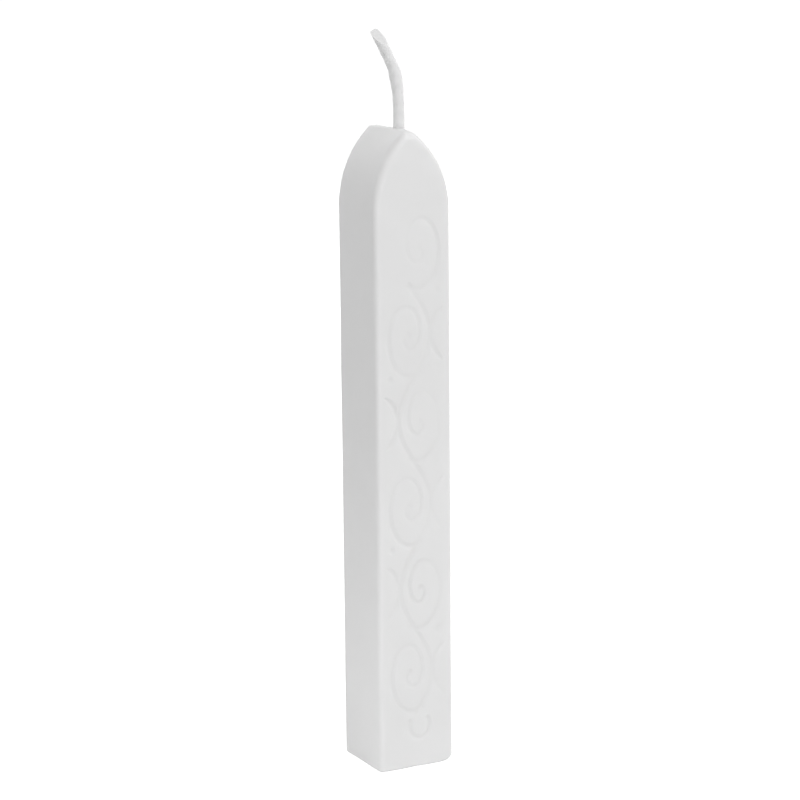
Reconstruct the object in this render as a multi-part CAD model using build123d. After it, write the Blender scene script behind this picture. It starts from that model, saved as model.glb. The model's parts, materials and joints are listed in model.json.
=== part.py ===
from build123d import *
from math import cos, pi, radians, sin, sqrt, tan
import os

# Sealing wax stick in millimetres: a cast wax bar with a pointed crown, and a wick through its length.
# +Z is up, the origin is the middle of the foot, the front face looks along -Y
# and the crown's ridge runs along Y. The wick leans and creases towards -X.

# Wax bar
bar_width = 11.6
bar_depth = 11.0
bar_height = 90.0  # from the foot to the ridge
arch_radius = 14.5  # each flank of the crown, tangent to the side below it
ridge_flat = 0.85  # width of the level strip along the ridge
ridge_radius = 0.7  # each shoulder of that strip, where a flank turns level
edge_radius = 0.6  # round the front and back faces, except at the foot
foot_chamfer = 0.4  # the foot's own edge, scraped at 45 degrees to a square-cornered flat

# Wick
wick_diameter = 1.55
wick_forward = 1.8  # the wick's axis stands this far in front of the bar's middle
foot_recess = 0.3  # from the foot up to the wick's lower cut end
stub_height = 0.15  # the cast-in length stands this far above the ridge
bend_gap = 0.05  # between two lengths of the wick where it bends
stem_straight = 1.6
stem_arc = 4.55  # length of the stem's leaning stretch
stem_lean = 11.0  # degrees that this stretch turns
crease_turn = 16.5  # degrees between the stem's end and the tip's start
tip_straight = 3.0
tip_arc = 2.4  # length of the tip's curling stretch
tip_curl = 1.0  # degrees that this stretch turns
tip_cut_tilt = 50.0  # degrees between the wick and the way that its cut end faces
tip_cut_turn = 71.0  # degrees that the cut is turned from +X towards the front

# Worked out from the sizes above
half_width = bar_width / 2
ridge_centre = bar_height - ridge_radius
arch_offset = arch_radius - half_width
shoulder_offset = arch_offset + ridge_flat / 2
arch_spring = ridge_centre - sqrt((arch_radius - ridge_radius) ** 2 - shoulder_offset**2)
wick_radius = wick_diameter / 2
bend_reach = wick_radius + bend_gap  # from a bend's axis down to the flat end below it
core_top = bar_height + stub_height
on_base = (Align.CENTER, Align.CENTER, Align.MIN)
under_top = (Align.CENTER, Align.CENTER, Align.MAX)


def leaning(degrees):
    """The direction that stands at this angle from +Z towards -X."""
    return Vector(-sin(radians(degrees)), 0, cos(radians(degrees)))


def bar_outline():
    """The bar seen from the front: flat foot, straight sides and a pointed crown with a narrow level ridge.

    Each flank is an arc that starts upright at the top of its side. A shoulder is an arc that touches
    the flank, on the line from the flank's centre through its own, and ends level at the ridge.
    """
    foot_corner = Vector(half_width, 0)
    flank_start = Vector(half_width, arch_spring)
    flank_centre = Vector(-arch_offset, arch_spring)
    shoulder_centre = Vector(ridge_flat / 2, ridge_centre)
    to_shoulder = (shoulder_centre - flank_centre).normalized()
    flank_way = (Vector(1, 0) + to_shoulder).normalized()
    flank_end = flank_centre + to_shoulder * arch_radius
    shoulder_way = (to_shoulder + Vector(0, 1)).normalized()
    shoulder_end = Vector(ridge_flat / 2, bar_height)
    right_side = [
        Line((0, 0), foot_corner),
        Line(foot_corner, flank_start),
        ThreePointArc(flank_start, flank_centre + flank_way * arch_radius, flank_end),
        ThreePointArc(flank_end, shoulder_centre + shoulder_way * ridge_radius, shoulder_end),
        Line(shoulder_end, (0, bar_height)),
    ]
    left_side = [mirror(edge, Plane.YZ) for edge in right_side]
    return make_face(right_side + left_side)


def wax_bar():
    """The outline carried along Y, with rounded edges, a scraped foot and the wick's bore right through.

    The scraping keeps what lies inside a block that widens at 45 degrees from the foot's flat.
    """
    bar = extrude(Plane.XZ * bar_outline(), bar_depth / 2, both=True)
    by_depth = bar.edges().group_by(Axis.Y)
    face_outlines = by_depth[0] + by_depth[-1]
    foot_edges = face_outlines.group_by(Axis.Z)[0]
    bar = fillet(face_outlines - foot_edges, edge_radius)
    foot_flat = Rectangle(bar_width - 2 * foot_chamfer, bar_depth - 2 * foot_chamfer)
    bar = bar & extrude(foot_flat, core_top, taper=-45)
    bore = Pos(0, -wick_forward, 0) * Cylinder(wick_radius, core_top, align=on_base)
    return bar - bore


def wick_core():
    """The length of wick that is cast into the wax, cut square at both ends."""
    core = Cylinder(wick_radius, core_top - foot_recess, align=on_base)
    return Pos(0, -wick_forward, foot_recess) * core


def free_length(pivot, lean, straight, arc, turn, past_end=0.0):
    """A length of wick that starts at a bend's axis, runs straight, then turns towards -X.

    Its lower end is rounded about the bend's axis, which lies along Y, so it can turn on the length below.
    Gives the solid and the middle of the arc's end. A straight stretch of past_end may follow there.
    """
    way = leaning(lean)
    inward = leaning(lean + 90)
    arc_radius = arc / radians(turn)
    arc_start = pivot + way * straight
    arc_end = arc_start + (way * sin(radians(turn)) + inward * (1 - cos(radians(turn)))) * arc_radius
    path = [Line(pivot, arc_start), TangentArc(arc_start, arc_end, tangent=way)]
    if past_end:
        path.append(Line(arc_end, arc_end + leaning(lean + turn) * past_end))
    square_to_wick = Plane(pivot, x_dir=(0, 1, 0), z_dir=way)
    tube = sweep(square_to_wick * Circle(wick_radius), Wire(path))
    below = square_to_wick * Cylinder(wick_radius, wick_radius, align=under_top)
    barrel = Plane(pivot, x_dir=(1, 0, 0), z_dir=(0, 1, 0)) * Cylinder(wick_radius, wick_diameter)
    return tube + (below & barrel), arc_end


def tip_cut(end, lean):
    """The plane of the wick's slanted cut, through the middle of its end."""
    turn, tilt = radians(tip_cut_turn), radians(tip_cut_tilt)
    sideways = leaning(lean - 90) * cos(turn) + Vector(0, -1, 0) * sin(turn)
    return Plane(end, z_dir=leaning(lean) * cos(tilt) + sideways * sin(tilt))


root_pivot = Vector(0, -wick_forward, core_top + bend_reach)
wick_stem, stem_end = free_length(root_pivot, 0, stem_straight, stem_arc, stem_lean)

crease_pivot = stem_end + leaning(stem_lean) * bend_reach
tip_lean = stem_lean + crease_turn
uncut_past_end = 1.5 * wick_radius * tan(radians(tip_cut_tilt))
uncut_tip, tip_end = free_length(crease_pivot, tip_lean, tip_straight, tip_arc, tip_curl, uncut_past_end)
wick_tip = split(uncut_tip, bisect_by=tip_cut(tip_end, tip_lean + tip_curl), keep=Keep.BOTTOM)

nodes = {
    "wax_bar": wax_bar(),
    "wick_core": wick_core(),
    "wick_stem": wick_stem,
    "wick_tip": wick_tip,
}

# A tube's volume is its section times its length, and its rounded end adds 8/3 of the radius cubed
wick_section = pi * wick_radius**2
rounded_end = 8 / 3 * wick_radius**3
for name, length in {"wick_stem": stem_straight + stem_arc, "wick_tip": tip_straight + tip_arc}.items():
    print(name, round(nodes[name].volume, 3), "mm3, expected", round(wick_section * length + rounded_end, 3))
for name, place in {"root pivot": root_pivot, "crease pivot": crease_pivot, "tip end": tip_end}.items():
    print(name, [round(value, 4) for value in place])

os.makedirs("parts", exist_ok=True)
for name, solid in nodes.items():
    export_step(solid, f"parts/{name}.step")
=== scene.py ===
"""Sealing wax stick: a cast wax bar with a carved front, and a plaited wick, made around the CAD frame."""

import json
from math import acos, cos, inf, pi, radians, sin, sqrt, tan

import bmesh
import bpy
import numpy as np
from bpy.props import FloatProperty, FloatVectorProperty, IntProperty, PointerProperty
from bpy.types import Operator, Panel, PropertyGroup
from mathutils import Matrix, Vector


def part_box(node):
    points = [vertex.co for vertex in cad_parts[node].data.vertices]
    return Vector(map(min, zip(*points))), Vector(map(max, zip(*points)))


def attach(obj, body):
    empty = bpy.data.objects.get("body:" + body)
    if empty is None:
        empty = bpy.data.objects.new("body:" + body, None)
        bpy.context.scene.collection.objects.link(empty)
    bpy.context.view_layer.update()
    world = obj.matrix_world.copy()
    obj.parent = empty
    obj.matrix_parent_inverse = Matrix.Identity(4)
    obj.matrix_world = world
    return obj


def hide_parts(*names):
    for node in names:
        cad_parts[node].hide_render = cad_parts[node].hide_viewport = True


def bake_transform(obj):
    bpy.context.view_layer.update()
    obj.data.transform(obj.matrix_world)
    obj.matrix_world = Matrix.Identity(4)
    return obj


bl_info = {
    "name": "Sealing wax stick",
    "version": (1, 0, 0),
    "blender": (4, 5, 0),
    "location": "3D View > Sidebar > Wax stick",
    "description": "Makes a cast stick of sealing wax with a plaited wick, and a white stage for it",
    "category": "Add Mesh",
}

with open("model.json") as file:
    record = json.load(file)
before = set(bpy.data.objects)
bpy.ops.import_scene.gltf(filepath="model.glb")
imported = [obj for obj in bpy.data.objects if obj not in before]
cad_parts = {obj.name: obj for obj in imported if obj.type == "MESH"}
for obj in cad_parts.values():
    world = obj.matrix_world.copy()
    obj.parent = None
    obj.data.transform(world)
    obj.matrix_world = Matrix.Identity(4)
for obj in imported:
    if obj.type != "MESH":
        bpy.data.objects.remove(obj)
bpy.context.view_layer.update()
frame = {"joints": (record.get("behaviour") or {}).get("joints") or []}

MM = 0.001

# Places that the frame gives
bar_low, bar_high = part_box("wax_bar")
core_low, core_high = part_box("wick_core")
bend_at = {joint["name"]: Vector(joint["pos_m"]) for joint in frame["joints"]}
root_bend = bend_at["wick_root_bend"]
crease_bend = bend_at["wick_crease_bend"]
wick_middle = (core_low + core_high) / 2

# Steps of the bar's grid: rows go up it and columns go round it
FLANK_ROWS = 580
SHOULDER_ROWS = 14
RIDGE_ROWS = 5
FRONT_STEPS = 39  # from the middle of the front face to its edge
EDGE_STEPS = 6
BACK_STEPS = 5
SIDE_STOPS = np.concatenate([[-0.97, -0.82], np.linspace(-0.68, -0.08, 12), [0.15, 0.42, 0.7, 0.97]])
FOOT_EDGE_STEPS = 5
FOOT_STOPS = (0, 0.33, 0.67)  # shares of the way from the bore's lip to the foot's edge

# Steps of the wick's grid: rings along it and columns round it
WICK_COLUMNS = 48
RING_STEP = 0.08 * MM
CORE_RINGS = 420
CAP_RINGS = 7
LINE_STEPS = 6000  # of the running sums that give the wick's middle line

MERGE_DISTANCE = 2e-7

# Waves over the bar: the lengths along x, y and z in which each turns by one radian, and its start
CAST_WAVES = (
    ((4.1 * MM, inf, 9.3 * MM), 0.7),
    ((inf, 3.7 * MM, -6.1 * MM), 2.1),
    ((2.3 * MM, 2.3 * MM, 3.9 * MM), 0.0),
)
CARVING_WAVES = (((1.9 * MM, inf, 5.3 * MM), 0.0), ((inf, inf, 7.7 * MM), 1.0))
FOOT_WAVES = (((0.8 * MM, inf, inf), 1.3), ((inf, 1.1 * MM, inf), 0.4))
CARVING_MEAN, CARVING_SWING = 0.62, 0.38  # shares of the grooves' full depth
FOOT_SWING = 0.3  # share of the foot's radius

# The foot's worn corner and the wick's bore
CORNER_RISE = 3 * MM  # height up to which the worn corner lifts the faces
CORNER_SPREAD = 1.5  # how many times further the corner is drawn in than lifted
BORE_GAP = 0.03 * MM
BORE_LIP = 0.12 * MM
BORE_COVER = 0.3 * MM  # from the wick's lower end up to the pole that closes the bore

# The vine's lines: steps along them, and sizes as lengths or as shares of the vine's settings
STEM_STEPS = 40  # in each bay
STEM_STOP = 0.42  # bays from the stem's end up to the last scroll's middle
SCROLL_STEPS = 110
SCROLL_START = radians(-62)
SCROLL_TURNS = 1.25
SCROLL_OUTER, SCROLL_INNER = 1.35, 0.18
SCROLL_WINDING = 0.8  # exponent, under 1 to tighten towards the eye
SCROLL_TAPER = 0.4
LEAF_STEPS = 24
LEAF_CURVE = np.array([[0, 0.3], [0.4, 2.4], [1.9, 3.6]]) * MM  # out from the stem and along it
LEAF_ENDS, LEAF_SWELL = 0.3, 0.9
LEAF_BELLY = 0.8  # exponent, under 1 to bring the widest place nearer to the root
HOOK_STEPS = 60
HOOK_START, HOOK_STOP = radians(158), radians(395)
HOOK_OFFSET, HOOK_DROP = 0.45 * MM, 1.9 * MM
HOOK_HALF_WIDTH, HOOK_HALF_HEIGHT = 1.6 * MM, 1.8 * MM
HOOK_TAPER = 0.65
EYE_RADIUS = 0.85 * MM
BERRY_RADIUS = 0.75 * MM
BERRY_OFFSET = 3.7 * MM
DOT_LENGTH = 0.01 * MM

# The plait, as shares of the wick's diameter
STRANDS = 3
STRAND_SWING = 0.24  # of a strand's middle, from side to side
STRAND_DIP = 0.16  # of a strand's middle, fore and aft
STRAND_RADIUS = 0.27
COAT_RADIUS = 0.518
LEAST_REACH = 0.027  # keeps a strand that a ray misses above nothing
VALLEY_FLOOR, VALLEY_TOP = 0.4, 0.5
FILL_POWER = 12  # of the mean that fills the valleys

# The wick's thickness as shares of its diameter, and the stretches over which it changes
PLAIN_FULLNESS = 0.98
ROOT_GAIN, ROOT_STRETCH = 0.04, (-1 * MM, 1.5 * MM)  # from the root bend
PINCH_GAIN, PINCH_STRETCH = 0.13, (-3.4 * MM, -1 * MM)  # from the crease
PINCH_LOSS, EASE_STRETCH = 0.065, (-0.5 * MM, 1.2 * MM)  # from the crease

# Where the crease turns, from its bend, and half the length that it takes to turn
SOFT_CREASE = (0.35 * MM, 1.2 * MM)  # on the hollow side
SHARP_CREASE = (-0.2 * MM, 0.1 * MM)  # on the other side

# The wick's lengths, its slanted cut and its bends
CORE_STOP = 0.6 * MM  # from the end of the length in the wax up to the ridge
LINE_SPARE = 2 * MM  # that the middle line runs on past the middle of the cut
SLANT_LENGTH = 4 * MM  # over which the rings turn to follow the cut
CUT_SOFTNESS = 0.1 * MM
SHARP_ANGLE = radians(35)  # between faces, past which their edge is shaded sharp

# The finishes, the stage and the camera
NOISE_LOW, NOISE_HIGH = 0.3, 0.7  # between which most of a noise lies
FIBRE_SCALE = (4500, 500, 1)  # fibres in a metre across a strand and along it
WHITE = (1.0, 1.0, 1.0, 1.0)
FLOOR_REACH = 6.0  # half the floor's side
FLOOR_GLOW = 0.8  # added where the floor is seen directly
SENSOR_WIDTH = 36  # in millimetres
CLIP_START = 10 * MM

# Each soft lamp's place, aim and size in metres, and its power in watts
LAMPS = {
    "right_lamp": ((0.4, -0.45, 0.25), (0, 0, 0.05), 0.3, 1.07),
    "left_lamp": ((-0.6, -0.1, 0.15), (0, 0, 0.05), 0.4, 0.41),
    "top_lamp": ((-0.05, -0.25, 0.55), (0, 0, 0.05), 0.4, 1.66),
    "back_lamp": ((0.05, 0.6, 0.2), (0, 0, 0.05), 0.5, 1.5),
    "low_left_lamp": ((-0.045, -0.01, 0.004), (0, 0, 0.004), 0.02, 0.003),
    "low_front_lamp": ((0.02, -0.07, 0.006), (0, 0, 0.004), 0.03, 0.0037),
}


# Settings

def length(name, description, default):
    """A size in metres that the user can change."""
    return FloatProperty(
        name=name, description=description, default=default, precision=6, unit="LENGTH", subtype="DISTANCE"
    )


def angle(name, description, degrees):
    """An angle that the user can change."""
    return FloatProperty(
        name=name, description=description, default=radians(degrees), unit="ROTATION", subtype="ANGLE"
    )


def colour(name, description, default):
    """A colour that the user can change."""
    return FloatVectorProperty(
        name=name, description=description, default=default, size=3, min=0.0, max=1.0, subtype="COLOR"
    )


def share(name, description, default):
    """A number from 0 to 1 that the user can change."""
    return FloatProperty(
        name=name, description=description, default=default, min=0.0, max=1.0, subtype="FACTOR"
    )


class WaxBarSettings(PropertyGroup):
    """Sizes and finish of the cast bar."""

    width: length("Width", "Across the front face", bar_high.x - bar_low.x)
    depth: length("Depth", "From the front face to the back face", bar_high.y - bar_low.y)
    height: length("Height", "From the foot to the ridge", bar_high.z - bar_low.z)
    arch_radius: length("Arch radius", "Each flank of the crown", 14.5 * MM)
    ridge_flat: length("Ridge flat", "Width of the level strip along the ridge", 0.85 * MM)
    ridge_radius: length("Ridge radius", "Each shoulder of the ridge", 0.7 * MM)
    ridge_lean: length("Ridge lean", "How far the soft crown sits to the right of the middle", -0.12 * MM)
    ridge_rise: length("Ridge rise", "How far the level strip rises to its middle", 0.05 * MM)
    ridge_droop: length("Ridge droop", "How far the ridge falls to its front end", 0.2 * MM)
    left_edge_radius: length("Left edge radius", "The front face's left edge", 0.65 * MM)
    right_edge_radius: length("Right edge radius", "The front face's right edge", 0.4 * MM)
    back_edge_radius: length("Back edge radius", "Round the back face", 0.45 * MM)
    left_crown_radius: length("Left crown radius", "The left edge, as if it ran up to the ridge", 1.7 * MM)
    right_crown_radius: length("Right crown radius", "The right edge, as if it ran up to the ridge", 0.5 * MM)
    back_crown_radius: length("Back crown radius", "The back edge at the ridge", 0.35 * MM)
    foot_radius: length("Foot radius", "Round the foot", 0.4 * MM)
    corner_wear: length("Corner wear", "How far the foot's right front corner is worn", 0.9 * MM)
    corner_reach: length("Corner reach", "How far from that corner the wear reaches", 0.8 * MM)
    wave_height: length("Wave height", "How far the cast faces stray from flat", 0.03 * MM)
    climb: length("Climb", "How far the wax climbs the wick", 0.2 * MM)
    climb_reach: length("Climb reach", "How far from the wick the wax begins to climb", 0.35 * MM)
    wax_colour: colour("Wax", "Colour of the wax", (0.77, 0.77, 0.77))


class VineSettings(PropertyGroup):
    """Sizes of the vine scroll that is carved in the front face."""

    bays: IntProperty(name="Bays", description="Scrolls on the vine", default=6, min=1)
    first_bay: length("First bay", "Height of the lowest scroll's middle", 14 * MM)
    bay_height: length("Bay height", "From one scroll to the next", 12 * MM)
    sway: length("Sway", "How far the stem swings from the middle", 2.5 * MM)
    scroll_offset: length("Scroll offset", "From the face's middle to a scroll's eye", 0.9 * MM)
    scroll_width: length("Scroll width", "Half width of a scroll's outer turn", 2.7 * MM)
    scroll_height: length("Scroll height", "Half height of a scroll's outer turn", 4.4 * MM)
    groove_width: length("Groove width", "Across the stem's groove", 1.3 * MM)
    groove_depth: length("Groove depth", "Into the front face", 0.145 * MM)


class WickSettings(PropertyGroup):
    """Sizes and finish of the wick."""

    diameter: length("Diameter", "Across the plait", core_high.x - core_low.x)
    pitch: length("Pitch", "Length in which a strand comes back to its place", 5.4 * MM)
    relief: share("Relief", "How far the strands stand out of their coat of wax", 0.1)
    stem_straight: length("Stem straight", "From the root bend to where the stem begins to lean", 1.6 * MM)
    stem_arc: length("Stem arc", "Length of the leaning stretch", 4.55 * MM)
    stem_lean: angle("Stem lean", "Turn of the leaning stretch", 11)
    crease_turn: angle("Crease turn", "Turn at the crease", 16.5)
    tip_straight: length("Tip straight", "From the crease to where the tip begins to curl", 3.0 * MM)
    tip_arc: length("Tip arc", "Length of the curling stretch", 2.4 * MM)
    tip_curl: angle("Tip curl", "Turn of the curling stretch", 1)
    cut_tilt: angle("Cut tilt", "Between the wick and the way that its cut end faces", 62)
    cut_turn: angle("Cut turn", "How far the cut is turned from the right towards the front", 71)
    cut_reach: length("Cut reach", "How far the blunted point stands past the middle of the cut", 0.8 * MM)
    cotton_colour: colour("Cotton", "Colour of the waxed cotton", (0.865, 0.865, 0.865))


class StageSettings(PropertyGroup):
    """The white stage, its light and the camera."""

    floor_colour: colour("Floor", "Colour of the floor", (0.9, 0.9, 0.9))
    sky_strength: FloatProperty(name="Sky", description="Even light from all round", default=0.29, min=0.0)
    azimuth: angle("Azimuth", "Turn of the camera round the stick", -28.05)
    pitch: angle("Pitch", "How far the camera looks down", 11.44)
    roll: angle("Roll", "Turn of the camera about its own line of sight", -0.54)
    distance: length("Distance", "From the camera to the middle of the bar", 366.8 * MM)
    aim_right: length("Aim right", "How far the camera stands to the right of its aim", 0.59 * MM)
    aim_up: length("Aim up", "How far the camera stands above its aim", 6.9 * MM)
    lens: FloatProperty(
        name="Lens", description="Focal length on a 36 mm sensor", default=117.95, unit="CAMERA"
    )


# Shared shapes

def ramp(low, high, value):
    """0 below low, 1 above high and a straight line between them."""
    return np.clip((value - low) / (high - low), 0, 1)


def smooth_step(low, high, value):
    """0 below low and 1 above high, and between them 3 t squared less 2 t cubed of the share t."""
    part = ramp(low, high, value)
    return part * part * (3 - 2 * part)


def mix(low, high, part):
    """low where part is 0, high where it is 1, and a straight line between them."""
    return low + (high - low) * part


def sine_waves(place, waves):
    """The sine of each wave at x, y and z: of these over its lengths, added up, and its start."""
    return np.stack([
        np.sin(sum(axis / reach for axis, reach in zip(place, reaches)) + start) for reaches, start in waves
    ])


def grid_mesh(name, points, attributes, strand_map=None):
    """A closed mesh from a grid of points, in rows of a closed loop, with a value a point in each attribute.

    Each square joins two neighbours in a row to the two above them. Points that coincide, at the
    poles and along the ridge, are merged, so that the first and last rows close the mesh.
    """
    rows, columns = points.shape[:2]
    index = np.arange(rows * columns).reshape(rows, columns)
    beside = np.roll(index, -1, axis=1)
    squares = np.stack([index[:-1], beside[:-1], beside[1:], index[1:]], axis=-1).reshape(-1, 4)
    mesh = bpy.data.meshes.new(name)
    mesh.vertices.add(rows * columns)
    mesh.vertices.foreach_set("co", points.astype(np.float32).ravel())
    mesh.loops.add(squares.size)
    mesh.loops.foreach_set("vertex_index", squares.ravel().astype(np.int32))
    mesh.polygons.add(len(squares))
    mesh.polygons.foreach_set("loop_start", np.arange(0, squares.size, 4, dtype=np.int32))
    mesh.update(calc_edges=True)
    for attribute, values in attributes.items():
        layer = mesh.attributes.new(attribute, "FLOAT", "POINT")
        layer.data.foreach_set("value", np.broadcast_to(values, (rows, columns)).astype(np.float32).ravel())
    if strand_map is not None:
        layer = mesh.uv_layers.new(name="strand_map")
        layer.data.foreach_set("uv", strand_map.reshape(-1, 2)[squares.ravel()].astype(np.float32).ravel())
    shape = bmesh.new()
    shape.from_mesh(mesh)
    bmesh.ops.remove_doubles(shape, verts=shape.verts, dist=MERGE_DISTANCE)
    shape.to_mesh(mesh)
    shape.free()
    mesh.shade_smooth()
    return mesh


def add_piece(mesh, material):
    """An object for the mesh, at the origin, with its material."""
    piece = bpy.data.objects.new(mesh.name, mesh)
    mesh.materials.append(material)
    bpy.context.scene.collection.objects.link(piece)
    return piece


# Carved vine

def vine_foot(vine):
    """The height of the stem's foot, half a bay below the lowest scroll's middle."""
    return vine.first_bay - 0.5 * vine.bay_height


def vine_bay(vine, bay):
    """The side to which the stem swings in a bay, 1 and -1 by turns, and the height of the bay's middle."""
    return (-1) ** bay, vine.first_bay + bay * vine.bay_height


def vine_stem(vine):
    """A wave up the face: the sway times the cosine of a half turn for each bay."""
    high = vine.first_bay + (vine.bays - 1 - STEM_STOP) * vine.bay_height
    z = np.linspace(vine_foot(vine), high, STEM_STEPS * vine.bays)
    x = vine.sway * np.cos(pi * (z - vine.first_bay) / vine.bay_height)
    return np.stack([x, z], axis=-1), np.full(len(z), vine.groove_width / 2)


def vine_scroll(vine, bay):
    """A spiral on the hollow side of a bay: an oval whose reach falls from outer to inner as it turns."""
    side, middle = vine_bay(vine, bay)
    part = np.linspace(0, 1, SCROLL_STEPS)
    turn = SCROLL_START - part * SCROLL_TURNS * 2 * pi
    reach = mix(SCROLL_INNER, SCROLL_OUTER, (1 - part) ** SCROLL_WINDING)
    x = side * (vine.scroll_width * reach * np.cos(turn) - vine.scroll_offset)
    z = middle + vine.scroll_height * reach * np.sin(turn)
    return np.stack([x, z], axis=-1), vine.groove_width / 2 * (1 - SCROLL_TAPER * part)


def vine_leaf(vine, bay, rise):
    """A leaf off the outer side of a bay, up if rise is 1 and down if it is -1.

    Its line is a curve through a root, a knee and a point as control points, and its width swells and
    falls again with a sine.
    """
    side, middle = vine_bay(vine, bay)
    part = np.linspace(0, 1, LEAF_STEPS)
    root, knee, point = LEAF_CURVE * (side, rise) + (side * vine.sway, middle)
    on_line = part[:, None]
    line = root * (1 - on_line) ** 2 + knee * 2 * on_line * (1 - on_line) + point * on_line**2
    return line, vine.groove_width / 2 * (LEAF_ENDS + LEAF_SWELL * np.sin(pi * part**LEAF_BELLY))


def vine_dot(x, z, radius):
    """A round dimple, as a line that is almost a point."""
    line = np.array([[x, z], [x, z + DOT_LENGTH]])
    return line, np.full(2, radius)


def vine_hook(vine):
    """The stem's root: an arc of two thirds of a turn under the vine, open at the top, that narrows."""
    turn = np.linspace(HOOK_START, HOOK_STOP, HOOK_STEPS)
    x = HOOK_OFFSET + HOOK_HALF_WIDTH * np.cos(turn)
    z = vine_foot(vine) - HOOK_DROP + HOOK_HALF_HEIGHT * np.sin(turn)
    return np.stack([x, z], axis=-1), vine.groove_width / 2 * np.linspace(1, HOOK_TAPER, HOOK_STEPS)


def vine_strokes(vine):
    """All of the vine's grooves, as pairs of a line on the front face and its half widths."""
    strokes = [vine_stem(vine), vine_hook(vine)]
    for bay in range(vine.bays):
        side, middle = vine_bay(vine, bay)
        strokes.append(vine_scroll(vine, bay))
        strokes.append(vine_dot(-side * vine.scroll_offset, middle, EYE_RADIUS))
        if bay < vine.bays - 1:
            strokes += [vine_leaf(vine, bay, rise) for rise in (-1, 1)]
            strokes.append(vine_dot(side * BERRY_OFFSET, middle + 0.5 * vine.bay_height, BERRY_RADIUS))
    return strokes


def carved_share(strokes, x, z):
    """How deep each point lies in the grooves, from 0 to 1.

    A point's closeness is 1 less its distance from the nearest line over that line's half width.
    The groove's section is the smooth step of the closeness, so it has a round floor and soft lips.
    """
    carved = np.zeros_like(x)
    for line, half_width in strokes:
        margin = half_width.max()
        low, high = line.min(axis=0) - margin, line.max(axis=0) + margin
        near = (x > low[0]) & (x < high[0]) & (z > low[1]) & (z < high[1])
        across = x[near][:, None] - line[:-1, 0]
        above = z[near][:, None] - line[:-1, 1]
        step = np.diff(line, axis=0)
        part = np.clip((across * step[:, 0] + above * step[:, 1]) / (step**2).sum(axis=1), 0, 1)
        distance = np.hypot(across - part * step[:, 0], above - part * step[:, 1])
        width = half_width[:-1] + part * np.diff(half_width)
        closeness = 1 - (distance / width).min(axis=1)
        carved[near] = np.maximum(carved[near], smooth_step(0, 1, closeness))
    return carved


# Cast wax bar

def crown_outline(bar):
    """Half the bar's front outline, from the top of the foot's edge to the middle of the ridge.

    A straight side leads into a flank, an arc of the arch radius that starts upright, that into a
    shoulder, an arc of the ridge radius that touches it and ends level, and that into half the ridge.
    Gives x, z, the turn of the outward normal from level, and the height at which the arch springs.
    """
    arch_offset = bar.arch_radius - bar.width / 2
    shoulder_offset = arch_offset + bar.ridge_flat / 2
    between_centres = bar.arch_radius - bar.ridge_radius
    ridge_centre = bar.height - bar.ridge_radius
    spring = ridge_centre - sqrt(between_centres**2 - shoulder_offset**2)
    meeting = acos(shoulder_offset / between_centres)
    flank = spring - bar.foot_radius
    shoulder = flank + bar.arch_radius * meeting
    ridge = shoulder + bar.ridge_radius * (pi / 2 - meeting)
    along = np.concatenate([
        np.linspace(0, shoulder, FLANK_ROWS, endpoint=False),
        np.linspace(shoulder, ridge, SHOULDER_ROWS, endpoint=False),
        np.linspace(ridge, ridge + bar.ridge_flat / 2, RIDGE_ROWS),
    ])
    past_shoulder = along > shoulder
    on_flank = (along - flank) / bar.arch_radius
    on_shoulder = meeting + (along - shoulder) / bar.ridge_radius
    turn = np.clip(np.where(past_shoulder, on_shoulder, on_flank), 0, pi / 2)
    radius = np.where(past_shoulder, bar.ridge_radius, bar.arch_radius)
    x = radius * np.cos(turn) + np.where(past_shoulder, bar.ridge_flat / 2, -arch_offset)
    x = x - np.clip(along - ridge, 0, None)
    z = radius * np.sin(turn) + np.where(past_shoulder, ridge_centre, spring)
    z = z - np.clip(flank - along, 0, None)
    z = z + bar.ridge_rise * ramp(ridge, ridge + bar.ridge_flat / 2, along)
    return x, z, turn, spring


def bar_columns():
    """The loop round the bar, from the front's middle by the right side, as four shares for each column.

    across is the share of the half width and facing that of the half depth, each from -1 to 1. inset
    and drawn are the shares of the edge radius by which the outline shrinks and the face draws back:
    1 and 0 on the front and back, 0 and 1 on the sides, and along a quarter circle between them.
    """
    turn = np.linspace(0, pi / 2, EDGE_STEPS + 1)
    rounded = np.stack([np.ones_like(turn), 1 - np.sin(turn), -np.ones_like(turn), 1 - np.cos(turn)])
    front = np.stack(np.broadcast_arrays(np.linspace(0, 1, FRONT_STEPS + 1)[:-1], 1.0, -1.0, 0.0))
    side = np.stack(np.broadcast_arrays(1.0, 0.0, SIDE_STOPS, 1.0))
    back = np.stack(np.broadcast_arrays(np.linspace(1, 0, BACK_STEPS + 1)[1:], 1.0, 1.0, 0.0))
    to_back = rounded[:, ::-1] * np.array([1, 1, -1, 1])[:, None]
    right = np.concatenate([front, rounded, side, to_back, back], axis=1)
    left = right[:, -2:0:-1] * np.array([-1, 1, 1, 1])[:, None]
    return np.concatenate([right, left], axis=1)


def edge_radii(bar, x, facing, rise):
    """The edges' radius at each point, mixed by how far it is to the right, up the crown and to the back."""
    to_right = 0.5 + x / bar.width
    edge_radius = mix(bar.left_edge_radius, bar.right_edge_radius, to_right)
    crown_radius = mix(bar.left_crown_radius, bar.right_crown_radius, to_right)
    front_radius = mix(edge_radius, crown_radius, rise)
    back_radius = mix(bar.back_edge_radius, bar.back_crown_radius, rise)
    return mix(front_radius, back_radius, (1 + facing) / 2)


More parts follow.
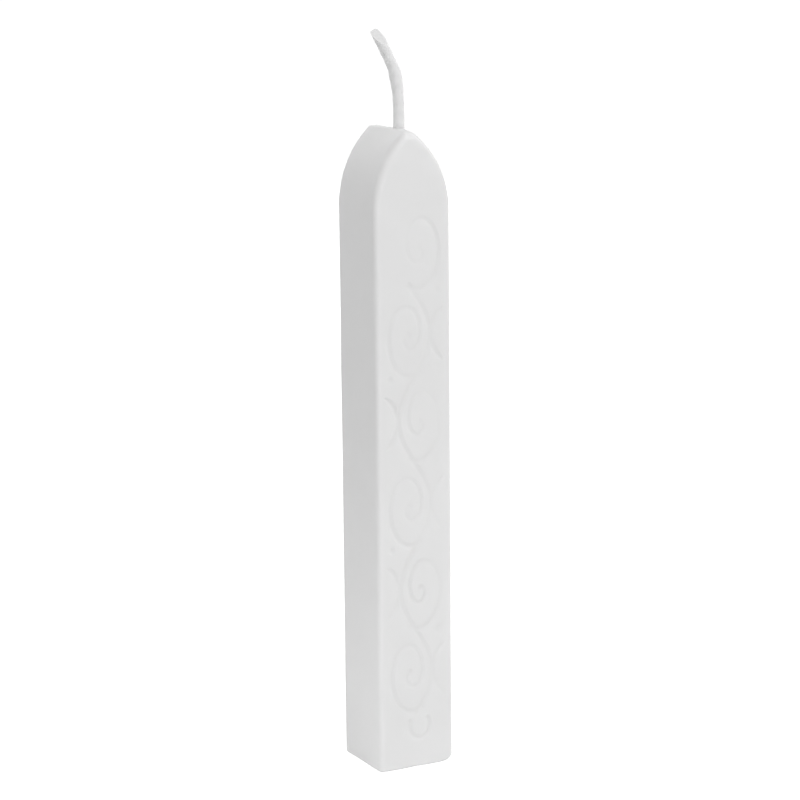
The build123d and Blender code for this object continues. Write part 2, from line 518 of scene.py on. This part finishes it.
def foot_rows(bar, wick, loop, outward, corner):
    """Rows of the foot, from its middle to its edge, and how rubbed each is.

    The lowest loop of the faces shrinks along a quarter circle to the flat foot, by more where the
    corner is worn. The flat runs in to the wick's bore, and the bore's wall runs up to a pole.
    """
    x, y, z = loop.T
    turn = np.linspace(pi / 2, 0, FOOT_EDGE_STEPS + 1)[:-1, None]
    wear = bar.foot_radius * (1 + FOOT_SWING * sine_waves((x, y, z), FOOT_WAVES).prod(axis=0))
    shrink = (wear + CORNER_SPREAD * corner) * (1 - np.cos(turn))
    edge = np.stack([x - outward[0] * shrink, y - outward[1] * shrink, z * (1 - np.sin(turn))], axis=-1)
    middle = np.array([wick_middle.x, wick_middle.y, 0])
    way = edge[0] - middle
    way = way / np.linalg.norm(way, axis=-1, keepdims=True)
    bore_radius = wick.diameter / 2 + BORE_GAP
    lip = middle + way * (bore_radius + BORE_LIP)
    wall = middle + way * bore_radius
    flat = [mix(lip, edge[0], part) for part in FOOT_STOPS]
    upwards = np.array([0, 0, 1])
    bore_top = (core_low.z + BORE_COVER) * upwards
    bore = [middle + bore_top + 0 * wall, wall + bore_top, wall + BORE_LIP * upwards]
    rubbed = np.concatenate([np.zeros(len(bore) + len(flat)), np.sin(2 * turn[:, 0])])
    return np.concatenate([np.array(bore + flat), edge]), rubbed[:, None]


def bar_surface(bar, vine, wick):
    """The bar's grid of points, and how rubbed and how carved each is.

    Above the foot's edge a point is the outline's point moved in by the inset and back by the draw of
    its column. It moves in level below the arch and towards the middle of the arch's foot above, so
    that the edge can be rounder than the ridge. The rows of the foot close the grid below.
    """
    outline_x, outline_z, turn, spring = crown_outline(bar)
    across, inset, facing, drawn = bar_columns()
    rise = smooth_step(spring, bar.height, outline_z)[:, None]
    radius = edge_radii(bar, across * outline_x[:, None], facing, rise)
    normal_x, normal_z = np.cos(turn)[:, None], np.sin(turn)[:, None]
    ray = np.arctan2(np.clip(outline_z - spring, 0, None), outline_x)[:, None]
    x = across * (outline_x[:, None] - radius * inset * np.cos(ray))
    y = facing * (bar.depth / 2 - radius * drawn)
    z = outline_z[:, None] - radius * inset * np.sin(ray)
    outward_x, outward_y = np.sign(across) * (1 - inset), np.sign(facing) * (1 - drawn)

    # Slow waves, the soft crown's lean and droop, and the wax that climbs the wick
    wave = bar.wave_height * sine_waves((x, y, z), CAST_WAVES).mean(axis=0)
    x = x + outward_x * normal_x * wave + bar.ridge_lean * rise**2
    y = y + outward_y * wave
    from_wick = np.hypot(x - wick_middle.x, y - wick_middle.y) - wick.diameter / 2
    z = z - bar.ridge_droop * rise**4 * np.clip(-facing, 0, 1) ** 2
    z = z + bar.climb * np.exp(-np.clip(from_wick, 0, None) / bar.climb_reach) * normal_z**2

    # The worn corner lifts the lowest rows
    from_corner = np.hypot(x[0] - bar.width / 2, y[0] + bar.depth / 2)
    corner = bar.corner_wear * np.exp(-((from_corner / bar.corner_reach) ** 2))
    z = z + corner * (1 - ramp(0, CORNER_RISE, z)) ** 2

    # Grooves in the flat of the front face, shallower in some places than in others
    carved = np.where((facing < 0) & (drawn == 0), carved_share(vine_strokes(vine), x, z), 0)
    carved = carved * (CARVING_MEAN + CARVING_SWING * sine_waves((x, y, z), CARVING_WAVES).prod(axis=0))
    y = y + vine.groove_depth * carved

    body = np.stack([x, y, z], axis=-1)
    foot, foot_rubbed = foot_rows(bar, wick, body[0], (outward_x, outward_y), corner)
    edges_rubbed = np.broadcast_to(2 * (1 - inset) * (1 - drawn), x.shape)
    rubbed = np.concatenate([np.broadcast_to(foot_rubbed, foot.shape[:2]), edges_rubbed])
    carved = np.concatenate([np.zeros(foot.shape[:2]), carved])
    return np.concatenate([foot, body]), rubbed, carved


# Plaited wick

def crease_along(wick):
    """The length along the wick to its crease: to the leaning stretch's end, and straight on to the bend."""
    stem_end = root_bend.z + wick.stem_straight + wick.stem_arc
    arc_radius = wick.stem_arc / wick.stem_lean
    end_z = root_bend.z + wick.stem_straight + arc_radius * sin(wick.stem_lean)
    return stem_end + (crease_bend.z - end_z) / cos(wick.stem_lean)


def wick_end_along(wick):
    """The length along the wick to the middle of its cut end."""
    return crease_along(wick) + wick.tip_straight + wick.tip_arc


def wick_lean(wick, along, crease):
    """The wick's angle from upright, towards the left, at each length along it.

    It grows evenly over the stem's arc and the tip's arc, and by the crease's turn, as a smooth step,
    within the crease's half length of its place.
    """
    place, half_length = crease
    past_crease = along - crease_along(wick)
    stem_start = root_bend.z + wick.stem_straight
    lean = wick.stem_lean * ramp(stem_start, stem_start + wick.stem_arc, along)
    lean = lean + wick.crease_turn * smooth_step(place - half_length, place + half_length, past_crease)
    return lean + wick.tip_curl * ramp(wick.tip_straight, wick.tip_straight + wick.tip_arc, past_crease)


def wick_line(wick, along, crease):
    """The wick's middle line: x and z are running sums of the sine and cosine of its lean.

    Below the root bend the wick is upright, so a length along it is a height.
    """
    fine = np.linspace(root_bend.z, wick_end_along(wick) + LINE_SPARE, LINE_STEPS)
    lean = wick_lean(wick, (fine[1:] + fine[:-1]) / 2, crease)
    step = fine[1] - fine[0]
    x = np.concatenate([[0, 0], -np.cumsum(np.sin(lean)) * step])
    z = np.concatenate([[0, root_bend.z], root_bend.z + np.cumsum(np.cos(lean)) * step])
    fine = np.concatenate([[0], fine])
    return np.interp(along, fine, x), np.interp(along, fine, z)


def strand_middles(wick, along):
    """Where the strands lie in the wick's section.

    Each swings across it with the sine of its phase and fore and aft with the sine of twice that, an
    even share of a turn apart, which is how a flat plait runs.
    """
    phase = 2 * pi * (along[..., None] / wick.pitch + np.arange(STRANDS) / STRANDS)
    return STRAND_SWING * wick.diameter * np.sin(phase), STRAND_DIP * wick.diameter * np.sin(2 * phase)


def plait_section(wick, along, around):
    """The wick's radius at each length and angle, each point's place on its own strand, and how deep it lies.

    A ray from the middle leaves a round strand at c.u + sqrt(q squared - (c x u) squared), where c is
    the strand's middle, q its radius and u the ray. A power mean of them keeps the furthest and fills
    the valleys, as wax does. The map runs round the strand and along it.
    """
    strand_radius = STRAND_RADIUS * wick.diameter
    middle_x, middle_y = strand_middles(wick, along)
    ray_x, ray_y = np.cos(around)[..., None], np.sin(around)[..., None]
    towards = middle_x * ray_x + middle_y * ray_y
    aside = middle_x * ray_y - middle_y * ray_x
    reach = towards + np.sqrt(np.clip(strand_radius**2 - aside**2, 0, None))
    reach = np.clip(reach, LEAST_REACH * wick.diameter, None)
    furthest = (reach**FILL_POWER).sum(axis=-1) ** (1 / FILL_POWER)
    radius = mix(COAT_RADIUS * wick.diameter, furthest, wick.relief)
    top = reach.argmax(axis=-1)[..., None]
    on_strand = np.take_along_axis(aside, top, axis=-1)[..., 0] + top[..., 0] * 2 * strand_radius
    valley = 1 - smooth_step(VALLEY_FLOOR, VALLEY_TOP, reach.max(axis=-1) / wick.diameter)
    return radius, np.stack([on_strand, along], axis=-1), valley


def wick_fullness(wick, along):
    """The wick's thickness as a share of its diameter: it swells at the root and where it is creased."""
    past_crease = along - crease_along(wick)
    root = 1 - smooth_step(*ROOT_STRETCH, along - root_bend.z)
    pinched = smooth_step(*PINCH_STRETCH, past_crease)
    eased = smooth_step(*EASE_STRETCH, past_crease)
    return PLAIN_FULLNESS + ROOT_GAIN * root + PINCH_GAIN * pinched - PINCH_LOSS * eased


def wick_points(wick, along, around):
    """Points on the wick at each length and angle, from the right by the back.

    The middle line turns softly on the hollow side of the crease, and sharply and a little sooner on
    the other, so the two are mixed by how far round a point lies. The section stands square to the
    wick there.
    """
    outer = 0.5 + 0.5 * np.cos(around)
    soft_x, soft_z = wick_line(wick, along, SOFT_CREASE)
    sharp_x, sharp_z = wick_line(wick, along, SHARP_CREASE)
    lean = mix(wick_lean(wick, along, SOFT_CREASE), wick_lean(wick, along, SHARP_CREASE), outer)
    radius, strand_map, valley = plait_section(wick, along, around)
    radius = radius * wick_fullness(wick, along)
    x = wick_middle.x + mix(soft_x, sharp_x, outer) + radius * np.cos(around) * np.cos(lean)
    y = wick_middle.y + radius * np.sin(around)
    z = mix(soft_z, sharp_z, outer) + radius * np.cos(around) * np.sin(lean)
    return np.stack([x, y, z], axis=-1), radius, strand_map, valley


def cut_fall(wick, radius, around):
    """How far below the middle of the slanted cut its points lie, by their distance from it and their angle.

    A plane falls by the distance times the tangent of its tilt times the cosine of the angle. It is
    cut level, with a soft edge, where it would rise past the blunted point.
    """
    fall = radius * tan(wick.cut_tilt) * np.cos(around + wick.cut_turn)
    return CUT_SOFTNESS * np.logaddexp(0, (fall + wick.cut_reach) / CUT_SOFTNESS) - wick.cut_reach


def cap_rows(rim):
    """Rows from a rim to its middle, which is a pole, and each row's share of the way to the rim."""
    middle = rim.mean(axis=0)
    share_out = np.linspace(1, 0, CAP_RINGS + 1)[1:, None, None]
    return mix(middle, rim, share_out), share_out[..., 0]


def wick_mesh(name, wick, start, end, rings, slanted=False):
    """A closed length of the wick between two lengths along it, with a slanted cut at its end if asked.

    Near a slanted end each column is drawn back by the cut's fall there, and so are the rows of its cap.
    """
    around = np.linspace(0, 2 * pi, WICK_COLUMNS, endpoint=False)[None, :]
    along = np.linspace(start, end, rings)[:, None] + 0 * around
    low_cap, _ = cap_rows(wick_points(wick, along[:1], around)[0][0])
    square_end, radius, _, _ = wick_points(wick, along[-1:], around)
    high_cap, share_out = cap_rows(square_end[0])
    if slanted:
        lean = wick.stem_lean + wick.crease_turn + wick.tip_curl
        way = np.array([-sin(lean), 0, cos(lean)])
        along = along - cut_fall(wick, radius, around) * smooth_step(end - SLANT_LENGTH, end, along)
        high_cap = high_cap - cut_fall(wick, radius * share_out, around)[..., None] * way
    points, _, strand_map, valley = wick_points(wick, along, around + 0 * along)
    points = np.concatenate([low_cap[::-1], points, high_cap])
    cap_maps = [np.broadcast_to(strand_map[row], (CAP_RINGS, *strand_map.shape[1:])) for row in (0, -1)]
    strand_map = np.concatenate([cap_maps[0], strand_map, cap_maps[1]])
    cut = np.concatenate([np.ones(CAP_RINGS), np.zeros(len(along)), np.ones(CAP_RINGS)])[:, None]
    valley = np.concatenate([np.zeros(low_cap.shape[:2]), valley, np.zeros(high_cap.shape[:2])])
    mesh = grid_mesh(name, points, {"cut": cut, "valley": valley}, strand_map)
    mesh.set_sharp_from_angle(angle=SHARP_ANGLE)
    return mesh


# Nodes

def add_node(tree, kind, inputs=None, **settings):
    """A node with its settings, and with a link or a value in each named or numbered input."""
    made = tree.nodes.new(kind)
    for name, value in settings.items():
        setattr(made, name, value)
    for name, value in (inputs or {}).items():
        if isinstance(value, bpy.types.NodeSocket):
            tree.links.new(value, made.inputs[name])
        else:
            made.inputs[name].default_value = value
    return made


def new_material(name):
    """An empty node material with its output."""
    material = bpy.data.materials.new(name)
    material.use_nodes = True
    tree = material.node_tree
    tree.nodes.clear()
    return material, tree, add_node(tree, "ShaderNodeOutputMaterial")


def add_math(tree, operation, *values):
    """The result of a sum on values or links."""
    return add_node(tree, "ShaderNodeMath", dict(enumerate(values)), operation=operation).outputs[0]


def add_noise(tree, place, scale, detail, roughness=0.5):
    """Cloudy noise from 0 to 1, with so many clouds for each unit of the place that it reads."""
    inputs = {"Vector": place, "Scale": scale, "Detail": detail, "Roughness": roughness}
    return add_node(tree, "ShaderNodeTexNoise", inputs).outputs["Fac"]


def add_dullness(tree, noise, low, high):
    """A roughness from low to high, as the noise goes over the range in which most of it lies."""
    inputs = {"Value": noise, "From Min": NOISE_LOW, "From Max": NOISE_HIGH, "To Min": low, "To Max": high}
    return add_node(tree, "ShaderNodeMapRange", inputs).outputs["Result"]


def add_bump(tree, height, strength, distance, normal=None):
    """A bumped normal, on top of another one if that is given."""
    inputs = {"Height": height, "Strength": strength, "Distance": distance}
    if normal is not None:
        inputs["Normal"] = normal
    return add_node(tree, "ShaderNodeBump", inputs).outputs["Normal"]


def read_value(tree, attribute):
    """A value that the mesh holds for each point."""
    return add_node(tree, "ShaderNodeAttribute", attribute_name=attribute).outputs["Fac"]


def mix_colours(tree, part, low, high):
    """low where part is 0 and high where it is 1, each a colour or a link."""
    factor, first, second, result = 0, 6, 7, 2  # the node's sockets for colours
    mixed = add_node(tree, "ShaderNodeMix", {factor: part, first: low, second: high}, data_type="RGBA")
    return mixed.outputs[result]


def tint(plain, times):
    """A colour times a number, with its alpha."""
    return (*(Vector(plain) * times), 1.0)


def seen_directly(tree):
    """1 for rays from the camera, a gloss or a glass, and 0 for the light that falls on things."""
    path = add_node(tree, "ShaderNodeLightPath").outputs
    first = add_math(tree, "MAXIMUM", path["Is Camera Ray"], path["Is Glossy Ray"])
    return add_math(tree, "MAXIMUM", first, path["Is Transmission Ray"])


# Finishes

def cast_wax(bar):
    """Cast wax: light sinks in, the tone is faintly clouded, rubbed edges are paler, and the grooves are
    painted with a little shade.
    """
    material, tree, output = new_material("cast_wax")
    place = add_node(tree, "ShaderNodeTexCoord").outputs["Object"]
    clouds = add_noise(tree, place, scale=140, detail=3)
    grain = add_noise(tree, place, scale=2600, detail=4, roughness=0.6)
    dimples = add_noise(tree, place, scale=520, detail=2)
    rubbed = read_value(tree, "rubbed")
    carved = read_value(tree, "carved")
    wax = bar.wax_colour
    tone = mix_colours(tree, clouds, tint(wax, 0.975), tint(wax, 1.02))
    # Painted shade: the grooves are painted darker by their carved share, for the shade that falls in them
    groove_shade_share = add_math(tree, "MULTIPLY", carved, 0.3)
    groove_painted_shade = mix_colours(tree, groove_shade_share, tone, tint(wax, 0.93))
    pale_share = add_math(tree, "MULTIPLY", rubbed, 0.2)
    paler = mix_colours(tree, pale_share, groove_painted_shade, tint(wax, 1.05))
    dull = add_dullness(tree, dimples, low=0.46, high=0.58)
    polished = add_math(tree, "MULTIPLY_ADD", rubbed, -0.1, dull)
    fine = add_bump(tree, grain, strength=0.12, distance=0.02 * MM)
    bumps = add_bump(tree, dimples, strength=0.2, distance=0.05 * MM, normal=fine)
    shader = add_node(
        tree, "ShaderNodeBsdfPrincipled",
        {
            "Base Color": paler,
            "Roughness": polished,
            "Normal": bumps,
            "IOR": 1.43,
            "Subsurface Weight": 0.6,
            "Subsurface Radius": (1.0, 1.0, 1.0),
            "Subsurface Scale": 1.0 * MM,
        },
    )
    tree.links.new(shader.outputs["BSDF"], output.inputs["Surface"])
    return material


def waxed_cotton(wick):
    """Cotton strands in a thin coat of wax: fibres along each strand, and painted shade in the valleys
    between strands and on the cut ends.
    """
    material, tree, output = new_material("waxed_cotton")
    on_strand = add_node(tree, "ShaderNodeUVMap", uv_map="strand_map").outputs["UV"]
    stretched = add_node(
        tree, "ShaderNodeMapping", {"Vector": on_strand, "Scale": FIBRE_SCALE}, vector_type="POINT"
    ).outputs["Vector"]
    place = add_node(tree, "ShaderNodeTexCoord").outputs["Object"]
    fibres = add_noise(tree, stretched, scale=1.0, detail=3)
    coat = add_noise(tree, place, scale=900, detail=3)
    valley = read_value(tree, "valley")
    cut = read_value(tree, "cut")
    cotton = wick.cotton_colour
    thread = mix_colours(tree, fibres, tint(cotton, 0.985), tint(cotton, 1.015))
    # Painted shade: the valleys between the strands are painted darker, for the shade that falls in them
    valley_painted_shade = mix_colours(tree, valley, thread, tint(cotton, 0.97))
    # Painted shade: the cut ends are painted darker, for the shade among their fibres
    cut_end_painted_shade = mix_colours(tree, cut, valley_painted_shade, tint(cotton, 0.93))
    uncut = add_math(tree, "MULTIPLY_ADD", cut, -0.1, 0.1)
    threads = add_bump(tree, fibres, strength=uncut, distance=0.02 * MM)
    lumps = add_bump(tree, coat, strength=0.12, distance=0.03 * MM, normal=threads)
    shader = add_node(
        tree, "ShaderNodeBsdfPrincipled",
        {
            "Base Color": cut_end_painted_shade,
            "Roughness": add_dullness(tree, coat, low=0.5, high=0.7),
            "Diffuse Roughness": 1.0,
            "Normal": lumps,
        },
    )
    tree.links.new(shader.outputs["BSDF"], output.inputs["Surface"])
    return material


def white_floor(stage):
    """A pale floor that shows as white where it is lit, and keeps the stick's shadow."""
    material, tree, output = new_material("white_floor")
    plain = add_node(tree, "ShaderNodeBsdfDiffuse", {"Color": (*stage.floor_colour, 1.0)}).outputs[0]
    glow = add_node(tree, "ShaderNodeEmission", {"Color": WHITE, "Strength": FLOOR_GLOW}).outputs[0]
    lifted = add_node(tree, "ShaderNodeAddShader", {0: plain, 1: glow}).outputs[0]
    shown = add_node(tree, "ShaderNodeMixShader", {"Fac": seen_directly(tree), 1: plain, 2: lifted})
    tree.links.new(shown.outputs[0], output.inputs["Surface"])
    return material


# Stage

def light_sky(stage):
    """An even sky that lights the stick, and shows as white behind it."""
    world = bpy.data.worlds.new("white_sky")
    world.use_nodes = True
    tree = world.node_tree
    tree.nodes.clear()
    even, white = (
        add_node(tree, "ShaderNodeBackground", {"Color": WHITE, "Strength": strength}).outputs[0]
        for strength in (stage.sky_strength, 1.0)
    )
    shown = add_node(tree, "ShaderNodeMixShader", {"Fac": seen_directly(tree), 1: even, 2: white})
    output = add_node(tree, "ShaderNodeOutputWorld")
    tree.links.new(shown.outputs[0], output.inputs["Surface"])
    bpy.context.scene.world = world


def add_soft_lamp(name, place, aim, size, power):
    """A square soft box that faces its aim."""
    lamp = bpy.data.lights.new(name, "AREA")
    lamp.shape = "SQUARE"
    lamp.size = size
    lamp.energy = power
    holder = bpy.data.objects.new(name, lamp)
    holder.visible_camera = False
    facing = (Vector(aim) - Vector(place)).to_track_quat("-Z", "Y")
    holder.matrix_world = Matrix.Translation(place) @ facing.to_matrix().to_4x4()
    bpy.context.scene.collection.objects.link(holder)


def place_camera(stage):
    """The camera looks at the middle of the bar from its azimuth and pitch, moved aside in its own plane."""
    look = Vector((
        -sin(stage.azimuth) * cos(stage.pitch),
        cos(stage.azimuth) * cos(stage.pitch),
        -sin(stage.pitch),
    ))
    level = look.cross(Vector((0, 0, 1))).normalized()
    upright = level.cross(look)
    right = level * cos(stage.roll) + upright * sin(stage.roll)
    up = upright * cos(stage.roll) - level * sin(stage.roll)
    aim = (bar_low + bar_high) / 2
    place = aim - look * stage.distance + right * stage.aim_right + up * stage.aim_up
    data = bpy.data.cameras.new("camera")
    data.sensor_width = SENSOR_WIDTH
    data.lens = stage.lens
    data.clip_start = CLIP_START
    camera = bpy.data.objects.new("camera", data)
    camera.matrix_world = Matrix.Translation(place) @ Matrix((right, up, -look)).transposed().to_4x4()
    bpy.context.scene.collection.objects.link(camera)
    bpy.context.scene.camera = camera


# Operators

class WAXSTICK_OT_cast_bar(Operator):
    """Make the cast wax bar with its carved front face."""

    bl_idname = "wax_stick.cast_bar"
    bl_label = "Cast wax bar"

    def execute(self, context):
        bar, vine, wick = context.scene.wax_bar, context.scene.wax_vine, context.scene.wax_wick
        points, rubbed, carved = bar_surface(bar, vine, wick)
        mesh = grid_mesh("cast_wax_bar", points, {"rubbed": rubbed, "carved": carved})
        piece = add_piece(mesh, cast_wax(bar))
        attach(piece, "stick")
        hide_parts("wax_bar")
        return {"FINISHED"}


class WAXSTICK_OT_plait_wick(Operator):
    """Make the plaited wick: the length in the wax, the stem and the creased tip."""

    bl_idname = "wax_stick.plait_wick"
    bl_label = "Plaited wick"

    def execute(self, context):
        wick = context.scene.wax_wick
        cotton = waxed_cotton(wick)
        in_wax = bar_high.z - CORE_STOP
        mid_stem = (root_bend.z + crease_along(wick)) / 2
        tip_end = wick_end_along(wick)
        core = add_piece(wick_mesh("cast_in_wick", wick, core_low.z, in_wax, CORE_RINGS), cotton)
        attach(core, "stick")
        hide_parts("wick_core")
        stem_rings = round((mid_stem - in_wax) / RING_STEP)
        stem = add_piece(wick_mesh("bending_wick_stem", wick, in_wax, mid_stem, stem_rings), cotton)
        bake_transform(stem)
        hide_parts("wick_stem")
        tip_rings = round((tip_end - mid_stem) / RING_STEP)
        tip_mesh = wick_mesh("creased_wick_tip", wick, mid_stem, tip_end, tip_rings, slanted=True)
        tip = add_piece(tip_mesh, cotton)
        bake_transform(tip)
        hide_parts("wick_tip")
        return {"FINISHED"}


class WAXSTICK_OT_white_stage(Operator):
    """Make the white floor, the sky, the soft lamps and the camera."""

    bl_idname = "wax_stick.white_stage"
    bl_label = "White stage"

    def execute(self, context):
        stage = context.scene.wax_stage
        corners = np.array([[-1, -1, 0], [1, -1, 0], [1, 1, 0], [-1, 1, 0]]) * FLOOR_REACH
        mesh = bpy.data.meshes.new("floor")
        mesh.from_pydata(corners.tolist(), [], [(0, 1, 2, 3)])
        add_piece(mesh, white_floor(stage))
        light_sky(stage)
        for name, lamp in LAMPS.items():
            add_soft_lamp(name, *lamp)
        place_camera(stage)
        context.scene.view_settings.view_transform = "Standard"
        return {"FINISHED"}


class WAXSTICK_PT_sidebar(Panel):
    """The stick's settings and the buttons that make it."""

    bl_idname = "WAXSTICK_PT_sidebar"
    bl_label = "Wax stick"
    bl_space_type = "VIEW_3D"
    bl_region_type = "UI"
    bl_category = "Wax stick"

    def draw(self, context):
        for settings, operator in SIDEBAR:
            box = self.layout.box()
            for group in settings:
                values = getattr(context.scene, group)
                for name in values.bl_rna.properties.keys():
                    if name not in {"rna_type", "name"}:
                        box.prop(values, name)
            box.operator(operator.bl_idname)


SETTINGS = {
    "wax_bar": WaxBarSettings,
    "wax_vine": VineSettings,
    "wax_wick": WickSettings,
    "wax_stage": StageSettings,
}
SIDEBAR = [
    (("wax_bar", "wax_vine"), WAXSTICK_OT_cast_bar),
    (("wax_wick",), WAXSTICK_OT_plait_wick),
    (("wax_stage",), WAXSTICK_OT_white_stage),
]
CLASSES = (
    *SETTINGS.values(),
    WAXSTICK_OT_cast_bar,
    WAXSTICK_OT_plait_wick,
    WAXSTICK_OT_white_stage,
    WAXSTICK_PT_sidebar,
)


def register():
    """Make the classes known, and give the scene its settings."""
    for each in CLASSES:
        bpy.utils.register_class(each)
    for name, group in SETTINGS.items():
        setattr(bpy.types.Scene, name, PointerProperty(type=group))


def unregister():
    """Take back what register does."""
    for name in SETTINGS:
        delattr(bpy.types.Scene, name)
    for each in reversed(CLASSES):
        bpy.utils.unregister_class(each)


def main():
    """Make every piece and the stage."""
    register()
    bpy.ops.wax_stick.cast_bar()
    bpy.ops.wax_stick.plait_wick()
    bpy.ops.wax_stick.white_stage()


if __name__ == "__main__":
    main()
